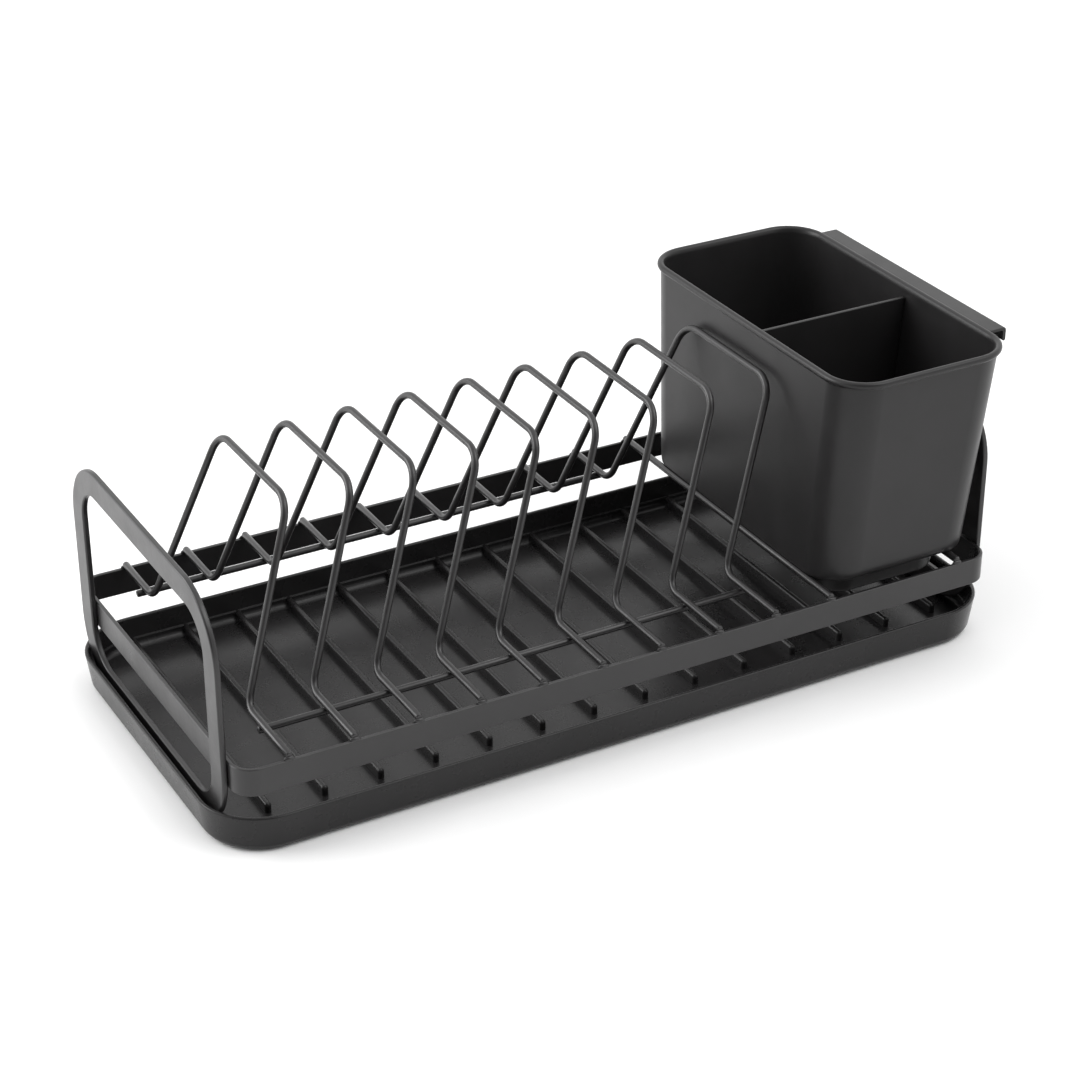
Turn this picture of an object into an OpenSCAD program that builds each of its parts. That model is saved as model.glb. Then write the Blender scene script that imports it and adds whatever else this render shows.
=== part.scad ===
// Slim dish drying rack: a moulded drip tray, a welded steel wire rack that stands in it,
// and a cutlery caddy with a removable divider that stands on the rack's right end.
// Millimetres, +Z up. Origin: centre of the tray's underside. X runs along the length,
// from the plate end (-X) to the caddy end (+X); Y runs from the front to the rear.

/* [Drip tray] */
// Outside length of the tray at the rim, along X
tray_length = 426; // [424:1:440]
// Outside width of the tray at the rim, along Y
tray_width = 198; // [196:1:210]
// Height of the tray from underside to rim
tray_height = 20; // [16:1:26]
// Plan radius of the tray's corners at the rim
tray_corner_r = 31; // [26:1:40]
// Thickness of the tray's side walls
tray_wall = 2.2; // [1.6:0.1:3]
// Thickness of the tray's floor
tray_floor_thickness = 2.5; // [2:0.1:3]
// Height of the floor's upper side above the underside of the foot ring
tray_floor = 4.5; // [4:0.1:6]
// How far each tray wall leans in between rim and underside
tray_draft = 2; // [1:0.5:3]
// Spacing of the drainage ribs along X
rib_pitch = 28.6; // [26:0.1:28.8]
// Number of drainage ribs
rib_count = 14; // [8:2:14]
// How far the row of ribs sits towards the caddy end
rib_shift = 5.5; // [0:0.5:6]
// Width of a drainage rib, which is round along its top
rib_width = 3.4; // [2.4:0.1:4]
// Height of a drainage rib above the floor
rib_height = 5; // [3:0.1:6]
// Y of the ribs' front ends; their rear ends run into the rear wall
rib_front = -73; // [-80:1:-60]

/* [Rack frame] */
// Outside length of the band that frames the rack, along X
band_length = 409; // [405:1:411]
// Outside width of the band, along Y
band_width = 199; // [196:1:202]
// Height of the band
band_height = 14; // [10:1:16]
// Thickness of the band steel and of the leg loops
bar_thickness = 2; // [1.5:0.1:2.5]
// Outside corner radius of the band
band_corner_r = 11; // [8:1:16]
// Height of the plate wires' level ends above the tray's underside
wire_level = 50; // [46:0.1:56]
// Thickness of the flat bar that the leg loops are cut from
leg_thickness = 3; // [2:0.1:3.2]
// Outside width of a leg loop, along Y
leg_width = 174; // [168:1:176]
// Height of the leg loops' top edge above the tray's underside
leg_top = 127; // [118:0.1:130]
// Width of the flat bar in a leg loop
leg_bar = 13.5; // [10:0.5:15]
// Outside corner radius of a leg loop
leg_corner_r = 34; // [30:1:42]
// Inside corner radius of a leg loop
leg_inner_r = 18; // [14:1:24]

/* [Wires] */
// Diameter of every round wire
wire_d = 3.5; // [2.8:0.1:3.5]
// Spacing of the plate wires along X
wire_pitch = 32; // [31:0.1:32.2]
// X of the first plate wire
first_wire_x = -179.6; // [-180.4:0.1:-178]
// Height of a plate wire's arch above its level ends
arch_height = 93; // [80:1:93]
// How far each arch leans towards +X
arch_lean = 30; // [22:0.5:30]
// Front and rear corner points of the arch's top, Y
arch_top_y = [-40.5, 37];
// Distance from the middle line to the front foot of the arch
front_foot = 52.5; // [48:0.5:58]
// Distance from the middle line to the rear foot of the arch
rear_foot = 61; // [56:0.5:66]
// Bend radius at the front and rear top corners of an arch
top_bends = [12, 14];
// Bend radius at the feet of an arch
foot_bend = 8; // [5:1:10]
// Distance of the front long wire from the middle line
front_long_y = 67.6; // [62:0.1:76]
// Distance of the rear long wire from the middle line
rear_long_y = 73.8; // [70:0.1:80]
// X of the right-hand cross wire under the caddy
right_cross_x = 184; // [176:1:190]

/* [Cutlery caddy] */
// Left and right sides of the caddy's base, X
caddy_base_x = [108.2, 198.5];
// Left and right sides of the caddy's wall at the rim, X
caddy_rim_x = [110.4, 206.5];
// Front and rear sides of the caddy's base, Y
caddy_base_y = [-94, 75];
// Front and rear sides of the caddy's wall at the rim, Y
caddy_rim_y = [-101, 83.5];
// Left and right sides of the well in the caddy's base, which drops between the cross wires
caddy_well_x = [110.5, 181.9];
// Front and rear sides of the well
caddy_well_y = [-91, 72];
// Depth of the well below the base
caddy_well_depth = 8; // [4:0.5:10]
// Height of the caddy from its base to the top of its rim
caddy_height = 110.4; // [90:0.1:120]
// Corner radius of the caddy in plan
caddy_corner_r = 20; // [14:1:26]
// Wall and floor thickness of the caddy
caddy_wall = 2; // [1.6:0.1:2.6]
// Radius of the round bead along the caddy's rim
caddy_bead_r = 1.8; // [1.4:0.1:2]
// Diameter of the drain holes in the caddy's floor
drain_d = 6; // [4:0.5:8]
// How far the hook lip stands out from the rim
lip_reach = 11.5; // [10:0.5:18]
// How far the hook lip turns down
lip_drop = 7; // [5:1:20]
// Front and rear ends of the hook lip, Y
lip_y = [-79, 66];
// Y of the divider's middle plane
divider_y = -14; // [-30:1:10]
// Thickness of the divider
divider_thickness = 2; // [1.6:0.1:2.4]
// How far the divider's top edge sits below the rim
divider_below_rim = 6; // [3:1:20]

/* [Hidden] */
$fn = 64;
wire_r = wire_d / 2;
band_top = wire_level - wire_r;
band_end = band_length / 2;
weld_y = band_width / 2 - bar_thickness / 2;
// Gap that keeps a resting part just off the part below it
rest_gap = 0.05;
// Clearance between the divider and the guides and walls around it
slide_gap = 0.4;
// Height of the divider guides above the caddy's base
guide_height = 52;
// Plan corner radius of the well
well_corner_r = 17;
caddy_base_z = wire_level + wire_r + rest_gap;
well_z = caddy_base_z - caddy_well_depth;
rim_top_z = caddy_base_z + caddy_height;
bead_z = rim_top_z - caddy_bead_r;
long_wire_z = wire_level - wire_d;
plate_wires = 9;

// Where the tray's wall section meets the floor slab, from the corner's centre
tray_section_inner = tray_corner_r - 12;
// Facets round a bent wire, and steps along each of its bends
wire_sides = 12;
bend_steps = 6;

// Flat slab with rounded corners, its underside at z = 0.
module rounded_slab(length, width, radius, height) {
  linear_extrude(height) {
    square([length - 2 * radius, width], center = true);
    square([length, width - 2 * radius], center = true);
    for (sx = [-1, 1], sy = [-1, 1])
      translate([sx * (length / 2 - radius), sy * (width / 2 - radius)])
        circle(radius);
  }
}

// Round rod between two points.
module rod(a, b, r) {
  d = b - a;
  translate(a)
    rotate([0, acos(d.z / norm(d)), atan2(d.y, d.x)])
      cylinder(h = norm(d), r = r);
}

function heading(a, b) = atan2(b[1] - a[1], b[0] - a[0]);
function signed_turn(a, b, c) = (heading(b, c) - heading(a, b) + 540) % 360 - 180;

// Points along one bend at corner b, each with the wire's heading there.
function bend_path(a, b, c, bend) =
  let (h0 = heading(a, b),
       sweep = signed_turn(a, b, c),
       side = sign(sweep),
       start = b - bend * tan(abs(sweep) / 2) * [cos(h0), sin(h0)],
       centre = start + side * bend * [-sin(h0), cos(h0)])
  [for (i = [0 : bend_steps])
    let (h = h0 + sweep * i / bend_steps)
    [centre + side * bend * [sin(h), -cos(h)], h]];

// Whole centre line of a wire bent in one plane.
function wire_path(points, bends) =
  let (last = len(points) - 1)
  concat([[points[0], heading(points[0], points[1])]],
         [for (i = [1 : last - 1])
           each bend_path(points[i - 1], points[i], points[i + 1], bends[i - 1])],
         [[points[last], heading(points[last - 1], points[last])]]);

// Wire bent in a plane through the Y axis that leans from vertical towards +X by `lean`.
// Corner points are [y, distance up the plane].
module bent_wire(points, bends, r, lean) {
  path = wire_path(points, bends);
  rings = len(path);
  verts = [for (p = path, k = [0 : wire_sides - 1])
    let (phi = 360 * k / wire_sides,
         y = p[0][0] - r * cos(phi) * sin(p[1]),
         up = p[0][1] + r * cos(phi) * cos(p[1]),
         across = r * sin(phi))
    [up * sin(lean) + across * cos(lean), y, up * cos(lean) - across * sin(lean)]];
  sides = [for (i = [0 : rings - 2], k = [0 : wire_sides - 1])
    let (k1 = (k + 1) % wire_sides, a = i * wire_sides, b = (i + 1) * wire_sides)
    [a + k, b + k, b + k1, a + k1]];
  first_cap = [for (k = [0 : wire_sides - 1]) k];
  last_cap = [for (k = [wire_sides - 1 : -1 : 0]) (rings - 1) * wire_sides + k];
  polyhedron(verts, concat(sides, [first_cap, last_cap]), convexity = 6);
}

// Section of the tray's wall; x counts outwards from the corner's centre, y is height.
// Inside, a small ledge runs round the wall just below the height of the ribs.
// Outside, the wall curls in to a foot ring that stands below the floor.
module tray_wall_section() {
  foot = 5;
  ring = 2;
  fillet = 1.2;
  ledge = 1;
  ledge_z = tray_floor + 4.7;
  base_r = tray_corner_r - tray_draft;
  foot_x = base_r - foot;
  upper_in = base_r - tray_wall + 0.8;
  floor_in = upper_in - ledge - fillet;
  polygon(concat(
    [[foot_x - ring, 0]],
    [for (a = [-90 : 15 : 0]) [foot_x + foot * cos(a), foot + foot * sin(a)]],
    [[tray_corner_r, tray_height - 0.6],
     [tray_corner_r - 0.5, tray_height],
     [tray_corner_r - tray_wall + 0.5, tray_height],
     [tray_corner_r - tray_wall, tray_height - 0.6],
     [upper_in, ledge_z],
     [upper_in - ledge + 0.3, ledge_z],
     [upper_in - ledge, ledge_z - 0.3]],
    [for (a = [0 : -18 : -90])
      [floor_in + fillet * cos(a), tray_floor + fillet + fillet * sin(a)]],
    [[tray_section_inner, tray_floor],
     [tray_section_inner, tray_floor - tray_floor_thickness],
     [foot_x - ring, tray_floor - tray_floor_thickness]]));
}

// Upright drainage rib along Y with a round top and a round front end.
module drainage_rib(front, rear) {
  r = rib_width / 2;
  root = 0.5;
  stem = rib_height - r;
  translate([-r, front + r, -root])
    cube([rib_width, rear - front - r, stem + root]);
  translate([0, front + r, -root])
    cylinder(h = stem + root, r = r);
  translate([0, front + r, stem])
    sphere(r);
  translate([0, rear, stem])
    rotate([90, 0, 0])
      cylinder(h = rear - front - r, r = r);
}

// Stiffening ribs under the floor, level with the foot ring.
module underside_ribs(half_x, half_y) {
  rib = 2;
  depth = tray_floor - tray_floor_thickness + 0.5;
  translate([-half_x, -rib / 2, 0])
    cube([2 * half_x, rib, depth]);
  for (k = [-3 : 3])
    translate([k * 2 * rib_pitch - rib / 2, -half_y, 0])
      cube([rib, 2 * half_y, depth]);
}

module drip_tray() {
  run_x = tray_length / 2 - tray_corner_r;
  run_y = tray_width / 2 - tray_corner_r;
  slab_r = tray_section_inner + 1;
  rib_rear = tray_width / 2 - 3.6;
  color([0.2, 0.2, 0.21]) union() {
    for (q = [0 : 3]) {
      sx = (q == 0 || q == 3) ? 1 : -1;
      sy = (q < 2) ? 1 : -1;
      translate([sx * run_x, sy * run_y, 0])
        rotate([0, 0, 90 * q])
          rotate_extrude(angle = 90)
            tray_wall_section();
    }
    for (s = [0, 1]) {
      rotate([0, 0, 180 * s])
        translate([run_x, 0, 0])
          rotate([90, 0, 0])
            linear_extrude(2 * run_y, center = true)
              tray_wall_section();
      rotate([0, 0, 180 * s + 90])
        translate([run_y, 0, 0])
          rotate([90, 0, 0])
            linear_extrude(2 * run_x, center = true)
              tray_wall_section();
    }
    translate([0, 0, tray_floor - tray_floor_thickness])
      rounded_slab(2 * (run_x + slab_r), 2 * (run_y + slab_r), slab_r, tray_floor_thickness);
    for (k = [0 : rib_count - 1])
      translate([rib_shift + (k - (rib_count - 1) / 2) * rib_pitch, 0, tray_floor])
        drainage_rib(rib_front, rib_rear);
    underside_ribs(run_x + tray_corner_r - 8, run_y + tray_corner_r - 8);
  }
}

module frame_band() {
  color([0.16, 0.16, 0.17])
    translate([0, 0, band_top - band_height])
      difference() {
        rounded_slab(band_length, band_width, band_corner_r, band_height);
        translate([0, 0, -1])
          rounded_slab(band_length - 2 * bar_thickness, band_width - 2 * bar_thickness,
                       band_corner_r - bar_thickness, band_height + 2);
      }
}

// Closed loop of flat bar, standing across the rack with its inner face at x = 0.
module leg_loop() {
  bottom = tray_floor + rest_gap;
  tall = leg_top - bottom;
  translate([0, 0, bottom + tall / 2])
    rotate([90, 0, 90])
      difference() {
        rounded_slab(leg_width, tall, leg_corner_r, leg_thickness);
        translate([0, 0, -1])
          rounded_slab(leg_width - 2 * leg_bar, tall - 2 * leg_bar, leg_inner_r,
                       leg_thickness + 2);
      }
}

module left_leg_loop() {
  color([0.17, 0.17, 0.18])
    translate([-band_end - leg_thickness, 0, 0])
      leg_loop();
}

module right_leg_loop() {
  color([0.17, 0.17, 0.18])
    translate([band_end, 0, 0])
      leg_loop();
}

// One plate wire: welded on the front band, level, up over the arch, and level to the rear band.
module plate_wire(number) {
  rise = norm([arch_lean, arch_height]);
  color([0.18, 0.18, 0.19])
    translate([first_wire_x + (number - 1) * wire_pitch, 0, wire_level])
      bent_wire([[-weld_y, 0], [-front_foot, 0], [arch_top_y[0], rise],
                 [arch_top_y[1], rise], [rear_foot, 0], [weld_y, 0]],
                [foot_bend, top_bends[0], top_bends[1], foot_bend],
                wire_r, atan2(arch_lean, arch_height));
}

// Straight wire along X, under the plate wires' level ends.
module long_wire(y, left_overhang) {
  right_overhang = 4;
  span = (plate_wires - 1) * wire_pitch;
  color([0.18, 0.18, 0.19])
    rod([first_wire_x - left_overhang, y, long_wire_z],
        [first_wire_x + span + right_overhang, y, long_wire_z], wire_r);
}

// Straight wire along Y, welded on both bands.
module cross_wire(x) {
  color([0.18, 0.18, 0.19])
    rod([x, -weld_y, wire_level], [x, weld_y, wire_level], wire_r);
}

// Corner discs of the caddy at one height, drawn inset from the outside faces.
module caddy_ring(xs, ys, z, inset) {
  r = caddy_corner_r - inset;
  for (x = [xs[0] + caddy_corner_r, xs[1] - caddy_corner_r],
       y = [ys[0] + caddy_corner_r, ys[1] - caddy_corner_r])
    translate([x, y, z])
      cylinder(h = 0.2, r = r);
}

module caddy_solid(inset, z0, z1) {
  hull() {
    caddy_ring(caddy_base_x, caddy_base_y, z0, inset);
    caddy_ring(caddy_rim_x, caddy_rim_y, z1 - 0.2, inset);
  }
}

// Well that hangs below the base, from z0 to z1, drawn inset from its outside faces.
module caddy_well(inset, z0, z1) {
  x = caddy_well_x;
  y = caddy_well_y;
  translate([(x[0] + x[1]) / 2, (y[0] + y[1]) / 2, z0])
    rounded_slab(x[1] - x[0] - 2 * inset, y[1] - y[0] - 2 * inset, well_corner_r - inset,
                 z1 - z0);
}

// Round bead that follows the outside of the caddy's rim.
module rim_bead() {
  x0 = caddy_rim_x[0] + caddy_corner_r;
  x1 = caddy_rim_x[1] - caddy_corner_r;
  y0 = caddy_rim_y[0] + caddy_corner_r;
  y1 = caddy_rim_y[1] - caddy_corner_r;
  corners = [[x1, y1, 0], [x0, y1, 90], [x0, y0, 180], [x1, y0, 270]];
  for (c = corners)
    translate([c[0], c[1], bead_z])
      rotate([0, 0, c[2]])
        rotate_extrude(angle = 90)
          translate([caddy_corner_r, 0])
            circle(caddy_bead_r);
  for (x = caddy_rim_x)
    rod([x, y0, bead_z], [x, y1, bead_z], caddy_bead_r);
  for (y = caddy_rim_y)
    rod([x0, y, bead_z], [x1, y, bead_z], caddy_bead_r);
}

// Flange on the caddy's outer side that turns down at its edge.
module hook_lip() {
  x = caddy_rim_x[1] - 1;
  translate([x, lip_y[0], bead_z])
    cube([lip_reach + 1, lip_y[1] - lip_y[0], caddy_wall - 0.6]);
  translate([x + lip_reach + 1 - caddy_wall, lip_y[0], bead_z + caddy_wall - 0.6 - lip_drop])
    cube([caddy_wall, lip_y[1] - lip_y[0], lip_drop]);
}

// Two upright ridges on one caddy wall, one each side of the divider's edge.
module divider_guides() {
  ridge = 1.6;
  gap = divider_thickness / 2 + slide_gap / 2;
  for (s = [-1, 1])
    translate([caddy_base_x[0], divider_y + s * (gap + ridge / 2) - ridge / 2, caddy_base_z])
      cube([caddy_rim_x[1] - caddy_base_x[0], ridge, guide_height]);
}

module caddy_tub() {
  guide_depth = 4;
  color([0.18, 0.18, 0.19]) difference() {
    union() {
      difference() {
        union() {
          caddy_solid(0, caddy_base_z, bead_z + 0.6);
          caddy_well(0, well_z, caddy_base_z + 1);
        }
        caddy_solid(caddy_wall, caddy_base_z + caddy_wall, rim_top_z + 2);
        caddy_well(caddy_wall, well_z + caddy_wall, caddy_base_z + caddy_wall + 1);
      }
      rim_bead();
      hook_lip();
      difference() {
        intersection() {
          divider_guides();
          caddy_solid(1, caddy_base_z, bead_z);
        }
        caddy_solid(caddy_wall + guide_depth, caddy_base_z - 1, rim_top_z);
      }
    }
    for (x = [-1, 0, 1], y = [-60, -37, 14, 37])
      translate([(caddy_well_x[0] + caddy_well_x[1]) / 2 + 24 * x, y, well_z - 1])
        cylinder(h = caddy_wall + 2, d = drain_d, $fn = 32);
  }
}

// Loose plate across the caddy that splits it into two compartments. Its foot reaches
// down into the well, and its right end stands on the base beside the well.
module caddy_divider() {
  foot_z = well_z + caddy_wall + rest_gap;
  step_z = caddy_base_z + caddy_wall + rest_gap;
  top_z = rim_top_z - divider_below_rim;
  slope = (caddy_rim_x[1] - caddy_base_x[1]) / (bead_z - caddy_base_z);
  left = caddy_well_x[0] + caddy_wall + slide_gap;
  well_right = caddy_well_x[1] - caddy_wall - slide_gap;
  right = caddy_base_x[1] - caddy_wall - slide_gap;
  color([0.17, 0.17, 0.18])
    translate([0, divider_y + divider_thickness / 2, 0])
      rotate([90, 0, 0])
        linear_extrude(divider_thickness)
          polygon([[left, foot_z], [well_right, foot_z], [well_right, step_z],
                   [right + slope * (step_z - caddy_base_z), step_z],
                   [right + slope * (top_z - caddy_base_z), top_z], [left, top_z]]);
}

drip_tray();
frame_band();
left_leg_loop();
right_leg_loop();
plate_wire(1);  // plate_wire_1
plate_wire(2);  // plate_wire_2
plate_wire(3);  // plate_wire_3
plate_wire(4);  // plate_wire_4
plate_wire(5);  // plate_wire_5
plate_wire(6);  // plate_wire_6
plate_wire(7);  // plate_wire_7
plate_wire(8);  // plate_wire_8
plate_wire(9);  // plate_wire_9
long_wire(-front_long_y, wire_r);  // front_long_wire
long_wire(rear_long_y, 4);  // rear_long_wire
cross_wire(first_wire_x + 9 * wire_pitch);  // caddy_wire_left
cross_wire(right_cross_x);  // caddy_wire_right
caddy_tub();
caddy_divider();
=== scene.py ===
import math
import random

import bmesh
import bpy
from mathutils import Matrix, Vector


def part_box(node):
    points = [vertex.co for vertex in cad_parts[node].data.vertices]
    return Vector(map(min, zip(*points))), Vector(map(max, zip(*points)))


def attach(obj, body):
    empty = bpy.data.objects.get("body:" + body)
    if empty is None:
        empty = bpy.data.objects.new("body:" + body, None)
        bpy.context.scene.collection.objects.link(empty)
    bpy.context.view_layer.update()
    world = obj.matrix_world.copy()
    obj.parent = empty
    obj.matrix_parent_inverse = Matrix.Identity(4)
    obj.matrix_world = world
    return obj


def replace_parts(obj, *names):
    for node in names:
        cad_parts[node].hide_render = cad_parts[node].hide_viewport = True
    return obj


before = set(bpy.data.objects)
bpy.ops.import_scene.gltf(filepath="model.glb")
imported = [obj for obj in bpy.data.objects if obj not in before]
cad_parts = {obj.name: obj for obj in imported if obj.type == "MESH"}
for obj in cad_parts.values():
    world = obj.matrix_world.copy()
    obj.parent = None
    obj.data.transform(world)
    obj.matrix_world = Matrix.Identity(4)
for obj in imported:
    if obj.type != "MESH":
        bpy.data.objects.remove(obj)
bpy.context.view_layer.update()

MM = 0.001
HALF_TURN = math.pi
FULL_TURN = 2 * math.pi
random.seed(11)

# Real sizes of the object, in metres. Where a piece is comes from the frame's boxes.
WIRE_R = 1.75 * MM
ARCH_FRONT_FOOT = -52.5 * MM
ARCH_REAR_FOOT = 61 * MM
ARCH_TOP_FRONT = -40.5 * MM
ARCH_TOP_REAR = 37 * MM
ARCH_BENDS = (8 * MM, 12 * MM, 14 * MM, 8 * MM)
BAND_STEEL = 2 * MM
BAND_CORNER = 11 * MM
LEG_BAR = 13.5 * MM
LEG_CORNER = 34 * MM
LEG_INNER = 18 * MM
TRAY_CORNER = 31 * MM
TRAY_WALL = 2.2 * MM
TRAY_DRAFT = 2 * MM
TRAY_FLOOR = 4.5 * MM
TRAY_FLOOR_THICK = 2.5 * MM
TRAY_FOOT = 5 * MM
RIB_PITCH = 28.6 * MM
RIB_SHIFT = 5.5 * MM
RIB_COUNT = 14
RIB_R = 1.7 * MM
RIB_HEIGHT = 5 * MM
RIB_FRONT = -73 * MM
CADDY_CORNER = 20 * MM
CADDY_STEPS = 18
CADDY_WALL = 2 * MM
CADDY_BEAD = 1.8 * MM
CADDY_BASE_X = (108.2 * MM, 198.5 * MM)
CADDY_RIM_LEFT = 110.4 * MM
CADDY_BASE_Y = (-94 * MM, 75 * MM)
WELL_X = (110.5 * MM, 181.9 * MM)
WELL_Y = (-91 * MM, 72 * MM)
WELL_DEPTH = 8 * MM
WELL_CORNER = 17 * MM
LIP_REACH = 11.5 * MM
LIP_DROP = 7 * MM
LIP_Y = (-79 * MM, 66 * MM)
DRAIN_R = 3 * MM
DRAIN_SIDES = 20
DRAIN_STEP = 24 * MM
DRAIN_ROWS = (-60 * MM, -37 * MM, 14 * MM, 37 * MM)
GUIDE_HEIGHT = 52 * MM

scene = bpy.context.scene


# ---------------------------------------------------------------- materials

def node_of(tree, kind, **values):
    """A new shader node with its inputs and settings filled in."""
    made = tree.nodes.new(kind)
    for key, value in values.items():
        if key in made.inputs:
            made.inputs[key].default_value = value
        else:
            setattr(made, key, value)
    return made


def noise(tree, coords, scale, detail, rough):
    """Cloudy value from 0 to 1 at object coordinates."""
    made = node_of(tree, "ShaderNodeTexNoise", Scale=scale, Detail=detail, Roughness=rough)
    tree.links.new(coords, made.inputs["Vector"])
    return made.outputs["Fac"]


def mapped(tree, value, low_in, high_in, low_out, high_out):
    """The value moved from one range to another, held inside the second."""
    made = node_of(tree, "ShaderNodeMapRange")
    made.clamp = True
    for key, number in (("From Min", low_in), ("From Max", high_in),
                        ("To Min", low_out), ("To Max", high_out)):
        made.inputs[key].default_value = number
    tree.links.new(value, made.inputs["Value"])
    return made.outputs["Result"]


def blend_colour(tree, factor, dark, light):
    """Colour between dark (factor 0) and light (factor 1)."""
    made = node_of(tree, "ShaderNodeMix", data_type="RGBA")
    made.inputs[6].default_value = (*dark, 1)
    made.inputs[7].default_value = (*light, 1)
    tree.links.new(factor, made.inputs[0])
    return made.outputs[2]


def bump(tree, height, distance, below=None):
    """Normal of a surface raised by a height of up to distance metres."""
    made = node_of(tree, "ShaderNodeBump", Strength=1.0, Distance=distance)
    tree.links.new(height, made.inputs["Height"])
    if below is not None:
        tree.links.new(below, made.inputs["Normal"])
    return made.outputs["Normal"]


def satin(name, dark, light, rough, grain, swell, gloss=None):
    """Satin coated or moulded surface: fine grain over a soft swell, uneven gloss and tone.

    rough is the range of roughness. grain and swell are each (noise scale, depth in metres).
    """
    made = bpy.data.materials.new(name)
    made.use_nodes = True
    tree = made.node_tree
    shader = tree.nodes["Principled BSDF"]
    coords = tree.nodes.new("ShaderNodeTexCoord").outputs["Object"]
    cloud = noise(tree, coords, scale=24, detail=4, rough=0.55)
    tone = mapped(tree, cloud, 0.35, 0.68, 0, 1)
    tree.links.new(blend_colour(tree, tone, dark, light), shader.inputs["Base Color"])
    patch = noise(tree, coords, scale=60, detail=5, rough=0.6)
    tree.links.new(mapped(tree, patch, 0.3, 0.7, rough[0], rough[1]),
                   shader.inputs["Roughness"])
    grain_height = noise(tree, coords, scale=grain[0], detail=2, rough=0.6)
    swell_height = noise(tree, coords, scale=swell[0], detail=2, rough=0.4)
    fine = bump(tree, grain_height, grain[1])
    tree.links.new(bump(tree, swell_height, swell[1], fine), shader.inputs["Normal"])
    shader.inputs["IOR"].default_value = 1.5
    if gloss is not None:
        shader.inputs["Specular IOR Level"].default_value = gloss
    return made


POWDER = satin(
    "powder_coat", dark=(0.0140, 0.0133, 0.0137), light=(0.0190, 0.0181, 0.0187),
    rough=(0.27, 0.37), grain=(1500, 0.000014), swell=(420, 0.00003))
TRAY_PLASTIC = satin(
    "tray_moulding", dark=(0.0125, 0.0119, 0.0122), light=(0.0165, 0.0158, 0.0162),
    rough=(0.24, 0.31), grain=(2600, 0.000007), swell=(90, 0.00004), gloss=0.27)
CADDY_PLASTIC = satin(
    "caddy_moulding", dark=(0.0150, 0.0144, 0.0147), light=(0.0190, 0.0182, 0.0187),
    rough=(0.32, 0.40), grain=(2600, 0.000006), swell=(60, 0.00002), gloss=0.31)


# ---------------------------------------------------------------- mesh helpers

SHARP_DEGREES = 40


class Shape:
    """Vertices and faces of one piece, collected part by part."""

    def __init__(self):
        self.verts = []
        self.faces = []

    def rings(self, rings, loop=False, cap_first=False, cap_last=False):
        """Skins rings of equally many points. loop joins the last ring to the first."""
        base = len(self.verts)
        n = len(rings[0])
        for ring in rings:
            self.verts.extend(tuple(p) for p in ring)
        for i in range(len(rings) if loop else len(rings) - 1):
            a = base + i * n
            b = base + (i + 1) % len(rings) * n
            for k in range(n):
                k1 = (k + 1) % n
                self.faces.append((a + k, a + k1, b + k1, b + k))
        if cap_first:
            self.faces.append(tuple(base + k for k in reversed(range(n))))
        if cap_last:
            last = base + (len(rings) - 1) * n
            self.faces.append(tuple(last + k for k in range(n)))
        return base

    def piece(self, name, body, material, flat_weighting=True):
        """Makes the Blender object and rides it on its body."""
        mesh = bpy.data.meshes.new(name)
        mesh.from_pydata(self.verts, [], self.faces)
        work = bmesh.new()
        work.from_mesh(mesh)
        bmesh.ops.recalc_face_normals(work, faces=work.faces)
        work.to_mesh(mesh)
        work.free()
        for face in mesh.polygons:
            face.use_smooth = True
        mesh.set_sharp_from_angle(angle=math.radians(SHARP_DEGREES))
        mesh.materials.append(material)
        made = bpy.data.objects.new(name, mesh)
        scene.collection.objects.link(made)
        if flat_weighting:
            weigh = made.modifiers.new("flat faces", "WEIGHTED_NORMAL")
            weigh.keep_sharp = True
        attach(made, body)
        return made


def arc(cx, cy, r, start, end, steps):
    """Points of an arc in a section, angles in degrees."""
    out = []
    for i in range(steps + 1):
        a = math.radians(start + (end - start) * i / steps)
        out.append((cx + r * math.cos(a), cy + r * math.sin(a)))
    return out


def rounded_rect(x0, x1, y0, y1, r, steps):
    """Plan points round a rounded rectangle, anticlockwise from the right side."""
    out = []
    for cx, cy, start in ((x1 - r, y1 - r, 0), (x0 + r, y1 - r, 90),
                          (x0 + r, y0 + r, 180), (x1 - r, y0 + r, 270)):
        out.extend(arc(cx, cy, r, start, start + 90, steps))
    return out


def plan_ring(x0, x1, y0, y1, r, z, steps):
    """Rounded rectangle in plan at one height."""
    return [(x, y, z) for x, y in rounded_rect(x0, x1, y0, y1, r, steps)]


def bent_path(corners, bends, steps=12):
    """Centre line through corner points, with an arc of the given radius at each."""
    path = [corners[0]]
    for a, b, c, r in zip(corners, corners[1:], corners[2:], bends):
        u = (a - b).normalized()
        v = (c - b).normalized()
        half = u.angle(v) / 2
        centre = b + (u + v).normalized() * (r / math.sin(half))
        s = b + u * (r / math.tan(half)) - centre
        e = b + v * (r / math.tan(half)) - centre
        sweep = s.angle(e)
        for i in range(steps + 1):
            t = i / steps
            mix = s * math.sin((1 - t) * sweep) + e * math.sin(t * sweep)
            path.append(centre + mix / math.sin(sweep))
    path.append(corners[-1])
    return path


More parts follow.
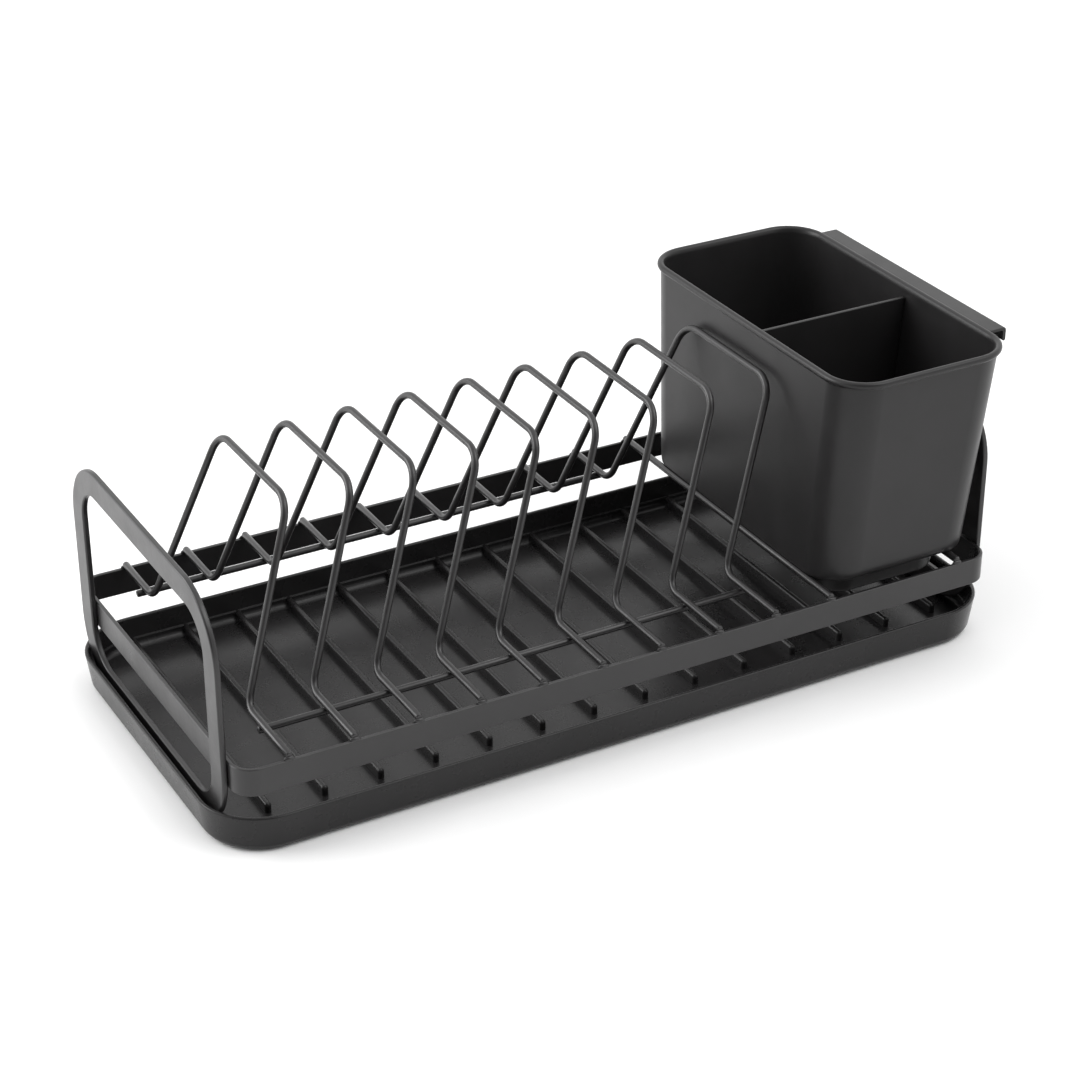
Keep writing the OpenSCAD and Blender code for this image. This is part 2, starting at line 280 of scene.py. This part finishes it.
def tube(shape, path, r, sides=24):
    """Round wire along a path, with its cut ends eased over."""
    count = len(path)
    tangents = []
    for i in range(count):
        a = path[max(i - 1, 0)]
        b = path[min(i + 1, count - 1)]
        tangents.append((b - a).normalized())
    normal = tangents[0].orthogonal().normalized()
    rings = []

    def ring(at, tangent, radius):
        side = tangent.cross(normal)
        return [at + (normal * math.cos(FULL_TURN * k / sides)
                      + side * math.sin(FULL_TURN * k / sides)) * radius
                for k in range(sides)]

    # Rings at a cut end: distance in from it and radius, as shares of the wire's radius.
    ease = ((0, 0.55), (0.05, 0.78), (0.18, 0.93), (0.4, 1.0))
    for i, (at, tangent) in enumerate(zip(path, tangents)):
        normal = (normal - tangent * normal.dot(tangent)).normalized()
        if i == 0:
            rings += [ring(at + tangent * (d * r), tangent, s * r) for d, s in ease]
        elif i == count - 1:
            rings += [ring(at - tangent * (d * r), tangent, s * r) for d, s in reversed(ease)]
        else:
            rings.append(ring(at, tangent, r))
    shape.rings(rings, cap_first=True, cap_last=True)


def nugget(shape, at, size, lump=0.08, turns=14, levels=9):
    """Lump of weld metal: an ellipsoid of these half sizes, uneven by the share lump."""
    rings = []
    phase = random.random() * 6
    for j in range(1, levels):
        polar = HALF_TURN * j / levels
        row = []
        for k in range(turns):
            a = FULL_TURN * k / turns
            grow = 1 + lump * math.sin(3 * a + phase) * math.sin(2 * polar + phase)
            row.append((at[0] + size[0] * grow * math.sin(polar) * math.cos(a),
                        at[1] + size[1] * grow * math.sin(polar) * math.sin(a),
                        at[2] + size[2] * math.cos(polar)))
        rings.append(row)
    shape.rings(rings, cap_first=True, cap_last=True)


def section_rings(section, x_half, y_half, corner, steps):
    """Rings of a wall whose section is (distance out from the corner's centre, height)."""
    rings = []
    for out, z in section:
        x = x_half - corner + out
        y = y_half - corner + out
        rings.append(plan_ring(-x, x, -y, y, out, z, steps))
    return rings


# ---------------------------------------------------------------- drip tray

lo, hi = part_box("drip_tray")
half_x, half_y, rim_z = (hi.x - lo.x) / 2, (hi.y - lo.y) / 2, hi.z
base_r = TRAY_CORNER - TRAY_DRAFT
foot_r = base_r - TRAY_FOOT
foot_width = 2 * MM
slab_r = TRAY_CORNER - 14 * MM
slab_low = TRAY_FLOOR - TRAY_FLOOR_THICK
lip = 0.9 * MM
lip_low = 2 * MM
inner_lean = 0.15 * MM
outer_lean = 0.25 * MM
fillet = 1.2 * MM
long_fillet = 2.6 * MM
wall_in = TRAY_CORNER - TRAY_WALL
ledge = 1 * MM
ledge_z = TRAY_FLOOR + 4.7 * MM
ledge_r = 0.3 * MM
upper_in = base_r - TRAY_WALL + 0.8 * MM
rib_rear_gap = 3.6 * MM
rib_root = -0.4 * MM
rib_straight = 0.9 * MM
rib_end_drop = 0.7 * MM
under_rib_gap = 8.2 * MM
under_rib_half = 1 * MM
under_rib_ease = 0.4 * MM


def tray_section(along):
    """Wall section; the floor's fillet grows from the ends (0) to the long sides (1).

    It runs from the floor up the inside, over the rim, down the outside and round the foot.
    """
    r = fillet + long_fillet * along
    floor_in = upper_in - ledge - r
    out = [(slab_r, TRAY_FLOOR)]
    out += arc(floor_in, TRAY_FLOOR + r, r, -90, -8, 9)
    out += arc(upper_in - ledge + ledge_r, ledge_z - ledge_r, ledge_r, 180, 90, 4)
    out += arc(upper_in - ledge_r, ledge_z + ledge_r, ledge_r, -90, 0, 3)
    out += [(wall_in - inner_lean, rim_z - lip_low)]
    out += arc(wall_in + lip, rim_z - lip, lip, 180, 90, 5)
    out += arc(TRAY_CORNER - lip, rim_z - lip, lip, 90, 0, 5)
    out += [(TRAY_CORNER - outer_lean, rim_z - lip_low - 0.2 * MM)]
    out += arc(foot_r, TRAY_FOOT, TRAY_FOOT, 0, -90, 12)
    out += [(foot_r - foot_width, 0.0), (foot_r - foot_width, slab_low), (slab_r, slab_low)]
    return out


tray = Shape()
corner_steps = 20
stations = []
for sx, sy, start in ((1, 1, 0), (-1, 1, 90), (-1, -1, 180), (1, -1, 270)):
    for i in range(corner_steps + 1):
        a = math.radians(start + 90 * i / corner_steps)
        stations.append((sx * (half_x - TRAY_CORNER), sy * (half_y - TRAY_CORNER),
                         math.cos(a), math.sin(a), tray_section(math.sin(a) ** 2)))
tray.rings([[(cx + row[j][0] * ca, cy + row[j][0] * sa, row[j][1])
             for cx, cy, ca, sa, row in stations] for j in range(len(stations[0][4]))],
           cap_first=True, cap_last=True)


def rib(shape, x, front, rear):
    """Upright rib with a round top and a round front end."""
    stem = RIB_HEIGHT - RIB_R
    rings = []
    ends = [(front + RIB_R - RIB_R * math.sin(math.radians(a)), math.cos(math.radians(a)))
            for a in (84, 70, 55, 40, 25, 12, 0)]
    for y, share in ends + [(rear, 1.0)]:
        w = RIB_R * share
        side = [(w, rib_root), (w, rib_straight)]
        top = stem - (1 - share) * rib_end_drop
        row = side + arc(0, top, w, 0, 180, 12) + [(-p, q) for p, q in reversed(side)]
        rings.append([(x + p, y, TRAY_FLOOR + q) for p, q in row])
    shape.rings(rings, cap_first=True, cap_last=True)


for k in range(RIB_COUNT):
    rib_x = RIB_SHIFT + (k - (RIB_COUNT - 1) / 2) * RIB_PITCH
    rib(tray, rib_x, RIB_FRONT, half_y - rib_rear_gap)


def bar(shape, x0, x1, y0, y1, z0, z1, ease):
    """Straight bar with its four long edges and its ends eased."""
    along_x = x1 - x0 >= y1 - y0
    start, end, side0, side1 = (x0, x1, y0, y1) if along_x else (y0, y1, x0, x1)
    half_side, half_up = (side1 - side0) / 2, (z1 - z0) / 2
    mid_side, mid_up = (side0 + side1) / 2, (z0 + z1) / 2
    section = []
    for c, cz, turn in ((side1 - ease, z1 - ease, 0), (side0 + ease, z1 - ease, 90),
                        (side0 + ease, z0 + ease, 180), (side1 - ease, z0 + ease, 270)):
        section += arc(c, cz, ease, turn, turn + 90, 4)
    rings = []
    for at, inset in ((start, ease), (start + ease * 0.3, ease * 0.3), (start + ease, 0),
                      (end - ease, 0), (end - ease * 0.3, ease * 0.3), (end, ease)):
        side_share = (half_side - inset) / half_side
        up_share = (half_up - inset) / half_up
        row = [(mid_side + (p - mid_side) * side_share, mid_up + (q - mid_up) * up_share)
               for p, q in section]
        rings.append([(at, p, q) if along_x else (p, at, q) for p, q in row])
    shape.rings(rings, cap_first=True, cap_last=True)


under_top = slab_low + 0.3 * MM
under_x = half_x - under_rib_gap
under_y = half_y - under_rib_gap
bar(tray, -under_x, under_x, -under_rib_half, under_rib_half, 0, under_top, under_rib_ease)
under_pitch = 2 * RIB_PITCH
for k in range(-3, 4):
    x = k * under_pitch
    bar(tray, x - under_rib_half, x + under_rib_half, -under_y, under_y, 0, under_top,
        under_rib_ease)
tray_piece = tray.piece("drip_tray_moulding", "tray", TRAY_PLASTIC)
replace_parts(tray_piece, "drip_tray")

# ---------------------------------------------------------------- frame band

band_lo, band_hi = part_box("frame_band")
edge = 0.55 * MM
outer = BAND_CORNER - edge
inner = BAND_CORNER - BAND_STEEL + edge
section = arc(outer, band_hi.z - edge, edge, 0, 90, 4)
section += arc(inner, band_hi.z - edge, edge, 90, 180, 4)
section += arc(inner, band_lo.z + edge, edge, 180, 270, 4)
section += arc(outer, band_lo.z + edge, edge, 270, 360, 4)
band = Shape()
band.rings(section_rings(section, (band_hi.x - band_lo.x) / 2, (band_hi.y - band_lo.y) / 2,
                         BAND_CORNER, 12), loop=True)
band_piece = band.piece("frame_band_steel", "rack", POWDER)
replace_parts(band_piece, "frame_band")

# ---------------------------------------------------------------- leg loops


def leg_loop(node):
    """Closed loop of flat bar standing across the rack, with its edges eased."""
    lo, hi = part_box(node)
    half_w = (hi.y - lo.y) / 2
    mid_z = (lo.z + hi.z) / 2
    half_h = (hi.z - lo.z) / 2
    ease = 0.9 * MM

    def ring(half_y, half_z, r, x):
        return [(x, p, mid_z + q)
                for p, q in rounded_rect(-half_y, half_y, -half_z, half_z, r, 18)]

    def outer(inset, x):
        return ring(half_w - inset, half_h - inset, LEG_CORNER - inset, x)

    def inner(inset, x):
        grow = inset - LEG_BAR
        return ring(half_w + grow, half_h + grow, LEG_INNER + inset, x)

    def eased(edge_ring, face_x, outward, degrees):
        """Quarter round of rings where an edge meets a flat face."""
        turns = [math.radians(d) for d in degrees]
        return [edge_ring(ease - ease * math.cos(a),
                          face_x - outward * ease + outward * ease * math.sin(a))
                for a in turns]

    out_to_face = (0, 22, 45, 68, 90)
    face_to_out = (90, 68, 45, 22, 0)
    rings = eased(outer, hi.x, 1, out_to_face) + eased(inner, hi.x, 1, face_to_out)
    rings += eased(inner, lo.x, -1, out_to_face) + eased(outer, lo.x, -1, face_to_out)
    shape = Shape()
    shape.rings(rings, loop=True)
    made = shape.piece(f"{node}_steel", "rack", POWDER)
    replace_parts(made, node)


LEG_LOOPS = ("left_leg_loop", "right_leg_loop")
for node in LEG_LOOPS:
    leg_loop(node)

# ---------------------------------------------------------------- wires

PLATE_WIRES = [f"plate_wire_{n}" for n in range(1, 10)]
LONG_WIRES = ("front_long_wire", "rear_long_wire")
CROSS_WIRES = ("caddy_wire_left", "caddy_wire_right")


def steel_wire(node, path):
    """One wire of the rack along a path, in place of its CAD node."""
    wire = Shape()
    tube(wire, path, WIRE_R)
    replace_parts(wire.piece(f"{node}_steel", "rack", POWDER,
                           flat_weighting=False), node)


for node in PLATE_WIRES:
    lo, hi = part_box(node)
    level, high = lo.z + WIRE_R, hi.z - WIRE_R
    foot, top = lo.x + WIRE_R, hi.x - WIRE_R
    corners = [Vector((foot, lo.y, level)), Vector((foot, ARCH_FRONT_FOOT, level)),
               Vector((top, ARCH_TOP_FRONT, high)), Vector((top, ARCH_TOP_REAR, high)),
               Vector((foot, ARCH_REAR_FOOT, level)), Vector((foot, hi.y, level))]
    steel_wire(node, bent_path(corners, ARCH_BENDS))

for node in LONG_WIRES:
    lo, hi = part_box(node)
    y, z = (lo.y + hi.y) / 2, (lo.z + hi.z) / 2
    steel_wire(node, [Vector((x, y, z)) for x in (lo.x, 0, hi.x)])

for node in CROSS_WIRES:
    lo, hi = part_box(node)
    x, z = (lo.x + hi.x) / 2, (lo.z + hi.z) / 2
    steel_wire(node, [Vector((x, y, z)) for y in (lo.y, 0, hi.y)])

# ---------------------------------------------------------------- welds

BAND_WELD = (2.7 * MM, 1.15 * MM, 1.35 * MM)
CROSSING_WELD = (1.35 * MM, 1.35 * MM, 0.7 * MM)
LEG_WELD = (0.9 * MM, 5.2 * MM, 0.9 * MM)
WELD_WANDER = 0.15
WELD_LIFT = 0.3 * MM
WELD_SET_IN = 0.15 * MM

welds = Shape()
wire_xs = [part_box(node)[0].x + WIRE_R for node in PLATE_WIRES]
cross_xs = [(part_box(node)[0].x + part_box(node)[1].x) / 2 for node in CROSS_WIRES]
end_y = band_hi.y - BAND_STEEL / 2 - WELD_SET_IN
for x in wire_xs + cross_xs:
    for side in (-1, 1):
        wander = random.uniform(-WELD_WANDER, WELD_WANDER) * MM
        nugget(welds, (x + wander, side * end_y, band_hi.z + WELD_LIFT), BAND_WELD, lump=0.12)
for node in LONG_WIRES:
    lo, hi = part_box(node)
    for x in wire_xs:
        nugget(welds, (x, (lo.y + hi.y) / 2, hi.z), CROSSING_WELD)
for node in LEG_LOOPS:
    lo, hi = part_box(node)
    inside = hi.x if lo.x < 0 else lo.x
    for side in (-1, 1):
        y = side * (hi.y - LEG_BAR / 2)
        for z in (band_lo.z, band_hi.z):
            nugget(welds, (inside, y, z), LEG_WELD, lump=0.1, levels=11)
welds.piece("weld_metal", "rack", POWDER, flat_weighting=False)

# ---------------------------------------------------------------- caddy

lo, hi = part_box("caddy_tub")
well_z, rim_top = lo.z, hi.z
base_z = well_z + WELL_DEPTH
bead_z = rim_top - CADDY_BEAD
rim_x = (CADDY_RIM_LEFT, hi.x - LIP_REACH)
rim_y = (lo.y + CADDY_BEAD, hi.y - CADDY_BEAD)


def caddy_ring(z, inset, side=None):
    """Ring round the caddy's tapered wall at a height, inset from the outside face.

    side is the inset at the left and right, where that differs.
    """
    share = (z - base_z) / (bead_z - base_z)
    side = inset if side is None else side
    x0 = CADDY_BASE_X[0] + (rim_x[0] - CADDY_BASE_X[0]) * share + side
    x1 = CADDY_BASE_X[1] + (rim_x[1] - CADDY_BASE_X[1]) * share - side
    y0 = CADDY_BASE_Y[0] + (rim_y[0] - CADDY_BASE_Y[0]) * share + inset
    y1 = CADDY_BASE_Y[1] + (rim_y[1] - CADDY_BASE_Y[1]) * share - inset
    return plan_ring(x0, x1, y0, y1, CADDY_CORNER - inset, z, CADDY_STEPS)


def well_ring(z, inset, ends=None):
    """Ring round the well below the caddy's base; ends is the inset at the front and rear."""
    ends = inset if ends is None else ends
    return plan_ring(WELL_X[0] + inset, WELL_X[1] - inset, WELL_Y[0] + ends,
                     WELL_Y[1] - ends, WELL_CORNER - ends, z, CADDY_STEPS)


def soft_edge(up, r):
    """How far a rounded lower edge of radius r draws in at a height above its bottom."""
    return r - math.sqrt(r * r - (r - up) ** 2) if up < r else 0.0


caddy = Shape()
foot_soft = 2.2 * MM
side_soft = 0.7 * MM
# How far the front and rear walls draw in, at heights above the base, both in millimetres.
LOWER_CURVE = ((0.0, 2.75), (0.1, 2.65), (0.35, 2.4), (0.7, 2.1), (1.2, 1.7), (1.9, 1.22),
               (2.7, 0.8), (3.7, 0.42), (4.8, 0.16), (6.2, 0.03), (7.5, 0.0))
# Outside, from the well's floor up to the rim.
rings = [well_ring(well_z + foot_soft + q, foot_soft - p, foot_soft - p + 1.2 * MM)
         for p, q in arc(0, 0, foot_soft, -90, 0, 6)]
rings += [well_ring(base_z - 3.2 * MM, 0.0, 0.75 * MM),
          well_ring(base_z - 1.2 * MM, 0.0, 0.25 * MM), well_ring(base_z, -0.1 * MM, 0.0)]
rings += [caddy_ring(base_z + up * MM, drawn * MM, soft_edge(up * MM, side_soft))
          for up, drawn in LOWER_CURVE]
profile = [(0.0, bead_z - 2.6 * MM), (-0.25 * MM, bead_z - 1.95 * MM)]
profile += [(-p, bead_z + q) for p, q in arc(0, 0, CADDY_BEAD, -70, 155, 14)]
# Inside, from the rim down to the well's floor.
profile += [(CADDY_WALL, bead_z - 0.4 * MM), (CADDY_WALL, bead_z - 1.4 * MM)]
inner_soft = 2 * MM
inner_step = 0.6 * MM
floor_z = base_z + CADDY_WALL
profile += [(CADDY_WALL + inner_step - p, floor_z + inner_step + q)
            for p, q in arc(0, 0, inner_step, 0, -90, 4)]
rings += [caddy_ring(z, inset) for inset, z in profile]
well_floor_z = well_z + CADDY_WALL
rings += [well_ring(floor_z, CADDY_WALL - 0.3 * MM), well_ring(floor_z - 0.4 * MM, CADDY_WALL)]
rings += [well_ring(well_floor_z + inner_soft + q, CADDY_WALL + inner_soft - p)
          for p, q in arc(0, 0, inner_soft, 0, -90, 6)]
start = caddy.rings(rings)
ring_size = len(rings[0])


def holed_face(shape, ring_start, count, z, holes):
    """Flat face inside a ring with round holes left open; returns where each hole's ring is."""
    work = bmesh.new()
    border = [work.verts.new(shape.verts[ring_start + k]) for k in range(count)]
    edges = [work.edges.new((border[k], border[(k + 1) % count])) for k in range(count)]
    starts = []
    for hx, hy in holes:
        ring = [work.verts.new((hx + DRAIN_R * math.cos(FULL_TURN * k / DRAIN_SIDES),
                                hy + DRAIN_R * math.sin(FULL_TURN * k / DRAIN_SIDES), z))
                for k in range(DRAIN_SIDES)]
        edges += [work.edges.new((ring[k], ring[(k + 1) % DRAIN_SIDES]))
                  for k in range(DRAIN_SIDES)]
        starts.append(ring)
    bmesh.ops.triangle_fill(work, use_beauty=True, use_dissolve=False, edges=edges)
    index = {v: ring_start + k for k, v in enumerate(border)}
    places = []
    for ring in starts:
        places.append(len(shape.verts))
        for v in ring:
            index[v] = len(shape.verts)
            shape.verts.append(tuple(v.co))
    for face in work.faces:
        shape.faces.append(tuple(index[v] for v in face.verts))
    work.free()
    return places


mid_x = sum(WELL_X) / 2
holes = [(mid_x + DRAIN_STEP * i, y) for i in (-1, 0, 1) for y in DRAIN_ROWS]
below = holed_face(caddy, start, ring_size, well_z, holes)
above = holed_face(caddy, start + (len(rings) - 1) * ring_size, ring_size, well_floor_z,
                   holes)
for a, b in zip(below, above):
    for k in range(DRAIN_SIDES):
        k1 = (k + 1) % DRAIN_SIDES
        caddy.faces.append((a + k, a + k1, b + k1, b + k))

# Hook lip: a flange out from the bead, turned down at its outer edge.
flange_z = bead_z + 1.4 * MM
lip_t = 2 * MM
lip_end = hi.x
lip_in = lip_end - lip_t
top_r = 1.6 * MM
tip_r = 0.7 * MM
under_r = 0.8 * MM
tip_z = flange_z - LIP_DROP + tip_r
flange_root = rim_x[1] - 0.9 * MM
section = [(flange_root, bead_z), (flange_root, flange_z)]
section += arc(lip_end - top_r, flange_z - top_r, top_r, 90, 0, 6)
section += arc(lip_end - tip_r, tip_z, tip_r, 0, -90, 4)
section += arc(lip_in + tip_r, tip_z, tip_r, -90, -180, 4)
section += arc(lip_in - under_r, bead_z - under_r, under_r, 0, 90, 4)
# Distance in from each end of the lip, with how far its outer and upper faces ease back there.
end_ease = ((0, 0.35 * MM), (0.15 * MM, 0.14 * MM), (0.5 * MM, 0))
stations = [(LIP_Y[0] + d, pull) for d, pull in end_ease]
stations += [(LIP_Y[1] - d, pull) for d, pull in reversed(end_ease)]
rings = []
for y, pull in stations:
    rings.append([(px - (pull if px > lip_end - 0.5 * MM else 0), y,
                   pz - (pull if pz > flange_z - 0.3 * MM else 0)) for px, pz in section])
caddy.rings(rings, cap_first=True, cap_last=True)

# Guide ridges for the divider, on the left and right walls.
div_lo, div_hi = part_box("caddy_divider")
ridge = 1.6 * MM
reach = 4 * MM
slide_gap = 0.2 * MM
tip_round = 0.5 * MM
tip_ease = 0.15 * MM
ridge_top = base_z + GUIDE_HEIGHT
# Heights of a ridge's rings, with how far its tip draws back towards the wall at each.
ridge_levels = ((floor_z - 0.3 * MM, 0), (ridge_top - 3 * MM, 0),
                (ridge_top - 1.2 * MM, 0.5 * MM), (ridge_top - 0.3 * MM, 1.6 * MM),
                (ridge_top, 2.6 * MM))


def wall_x(z, side):
    """Outside face of the left (0) or right (1) wall at a height."""
    share = (z - base_z) / (bead_z - base_z)
    return CADDY_BASE_X[side] + (rim_x[side] - CADDY_BASE_X[side]) * share


def guide_ridge(side, s):
    """Upright ridge on one side wall, in front of (-1) or behind (1) the divider."""
    toward = -1 if side else 1
    y_in = (div_lo.y - slide_gap) if s < 0 else (div_hi.y + slide_gap)
    y_out = y_in + s * ridge
    rings = []
    for z, back in ridge_levels:
        face = wall_x(z, side) + toward * CADDY_WALL
        root = face - toward * 0.5 * MM
        tip = face + toward * (reach - back)
        shoulder = tip - toward * tip_round
        near_tip = tip - toward * tip_ease
        rings.append([(root, y_in, z), (shoulder, y_in, z), (near_tip, y_in + s * tip_ease, z),
                      (tip, y_in + s * tip_round, z), (tip, y_out - s * tip_round, z),
                      (near_tip, y_out - s * tip_ease, z), (shoulder, y_out, z),
                      (root, y_out, z)])
    caddy.rings(rings, cap_first=True, cap_last=True)


for side in (0, 1):
    for s in (-1, 1):
        guide_ridge(side, s)
caddy_piece = caddy.piece("caddy_tub_moulding", "caddy", CADDY_PLASTIC)
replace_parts(caddy_piece, "caddy_tub")

# ---------------------------------------------------------------- divider

divider = Shape()
ease = 0.5 * MM
corner = 0.8 * MM
foot_gap = 0.4 * MM
slope = (rim_x[1] - CADDY_BASE_X[1]) / (bead_z - base_z)


def divider_ring(y, inset):
    """Outline of the plate: a foot in the well, a step beside it and the tapered right end."""
    x0, z0, z1 = div_lo.x + inset, div_lo.z + inset, div_hi.z - inset
    step_z = div_lo.z + WELL_DEPTH + inset
    foot_right = WELL_X[1] - CADDY_WALL - foot_gap - inset
    right_top = div_hi.x - inset
    right_low = right_top - slope * (div_hi.z - div_lo.z - WELL_DEPTH)
    r = corner
    pts = arc(x0 + r, z0 + r, r, 180, 270, 4)
    pts += arc(foot_right - r, z0 + r, r, 270, 360, 4)
    pts += [(foot_right, step_z - 0.3 * MM), (foot_right + 0.3 * MM, step_z)]
    pts += arc(right_low - r, step_z + r, r, 270, 360, 4)
    pts += arc(right_top - r, z1 - r, r, 0, 90, 4)
    pts += arc(x0 + r, z1 - r, r, 90, 180, 4)
    return [(p, y, q) for p, q in pts]


turns = [math.radians(a) for a in (90, 60, 30, 0)]
rings = [divider_ring(div_lo.y + ease - ease * math.sin(a), ease - ease * math.cos(a))
         for a in turns]
rings += [divider_ring(div_hi.y - ease + ease * math.sin(a), ease - ease * math.cos(a))
          for a in reversed(turns)]
divider.rings(rings, cap_first=True, cap_last=True)
divider_piece = divider.piece("caddy_divider_plate", "divider", CADDY_PLASTIC)
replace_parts(divider_piece, "caddy_divider")

# ---------------------------------------------------------------- stage, light, camera

FLOOR_HALF = 6.0
PALE = ((0.90, 0.90, 0.90), (0.93, 0.93, 0.93))
SKY = 1.3
SKY_DIMMED = 0.15
DIM_TOWARDS = (-0.45, -0.80, 0.30)
DIM_STARTS, DIM_FULL = 0.55, 0.92

floor_mesh = bpy.data.meshes.new("floor")
floor_mesh.from_pydata([(sx * FLOOR_HALF, sy * FLOOR_HALF, 0)
                        for sx, sy in ((-1, -1), (1, -1), (1, 1), (-1, 1))],
                       [], [(0, 1, 2, 3)])
floor_mat = bpy.data.materials.new("pale_floor")
floor_mat.use_nodes = True
floor_tree = floor_mat.node_tree
floor_shader = floor_tree.nodes["Principled BSDF"]
floor_coords = floor_tree.nodes.new("ShaderNodeTexCoord").outputs["Object"]
floor_tone = noise(floor_tree, floor_coords, scale=3, detail=3, rough=0.5)
floor_tree.links.new(blend_colour(floor_tree, floor_tone, *PALE),
                     floor_shader.inputs["Base Color"])
floor_shader.inputs["Roughness"].default_value = 0.9
floor_shader.inputs["Specular IOR Level"].default_value = 0.1
floor_mesh.materials.append(floor_mat)
floor = bpy.data.objects.new("floor", floor_mesh)
scene.collection.objects.link(floor)

# The studio is white all round and dimmer towards the front left, where the camera stands. The
# camera itself sees plain white behind the object.
world = bpy.data.worlds.new("studio")
world.use_nodes = True
sky = world.node_tree
sky_out = sky.nodes["World Output"]
lit = sky.nodes["Background"]
lit.inputs["Color"].default_value = (1, 1, 1, 1)
facing = node_of(sky, "ShaderNodeVectorMath", operation="DOT_PRODUCT")
facing.inputs[1].default_value = Vector(DIM_TOWARDS).normalized()
sky.links.new(sky.nodes.new("ShaderNodeTexCoord").outputs["Generated"], facing.inputs[0])
strength = mapped(sky, facing.outputs["Value"], DIM_STARTS, DIM_FULL, SKY, SKY_DIMMED)
sky.links.new(strength, lit.inputs["Strength"])
plain = node_of(sky, "ShaderNodeBackground", Strength=SKY, Color=(1, 1, 1, 1))
choose = sky.nodes.new("ShaderNodeMixShader")
sky.links.new(sky.nodes.new("ShaderNodeLightPath").outputs["Is Camera Ray"], choose.inputs[0])
sky.links.new(lit.outputs[0], choose.inputs[1])
sky.links.new(plain.outputs[0], choose.inputs[2])
sky.links.new(choose.outputs[0], sky_out.inputs["Surface"])
scene.world = world


def soft_light(name, at, aim, size, power):
    """Rectangular lamp at a place in metres, turned to face a point."""
    data = bpy.data.lights.new(name, "AREA")
    data.shape = "RECTANGLE"
    data.size, data.size_y = size
    data.energy = power
    made = bpy.data.objects.new(name, data)
    made.location = at
    made.rotation_euler = (Vector(aim) - Vector(at)).to_track_quat("-Z", "Y").to_euler()
    scene.collection.objects.link(made)


soft_light("left_softbox", at=(-1.6, 1.0, 0.85), aim=(-0.1, 0, 0.08), size=(1.4, 1.2), power=26)
soft_light("high_softbox", at=(0.9, -1.0, 2.0), aim=(0, 0, 0.05), size=(1.6, 1.2), power=16)

CAMERA_AT = (-0.5616, -1.0142, 0.7000)
CAMERA_TURN = math.radians(29.02)
CAMERA_TILT = math.radians(28.78)

camera = bpy.data.cameras.new("camera")
camera.lens = 89.2
camera.sensor_width = 36
camera.clip_start = 0.05
camera.clip_end = 50
camera_object = bpy.data.objects.new("camera", camera)
camera_object.location = CAMERA_AT
look = Vector((math.sin(CAMERA_TURN) * math.cos(CAMERA_TILT),
               math.cos(CAMERA_TURN) * math.cos(CAMERA_TILT), -math.sin(CAMERA_TILT)))
camera_object.rotation_euler = look.to_track_quat("-Z", "Y").to_euler()
scene.collection.objects.link(camera_object)
scene.camera = camera_object
scene.view_settings.view_transform = "Standard"
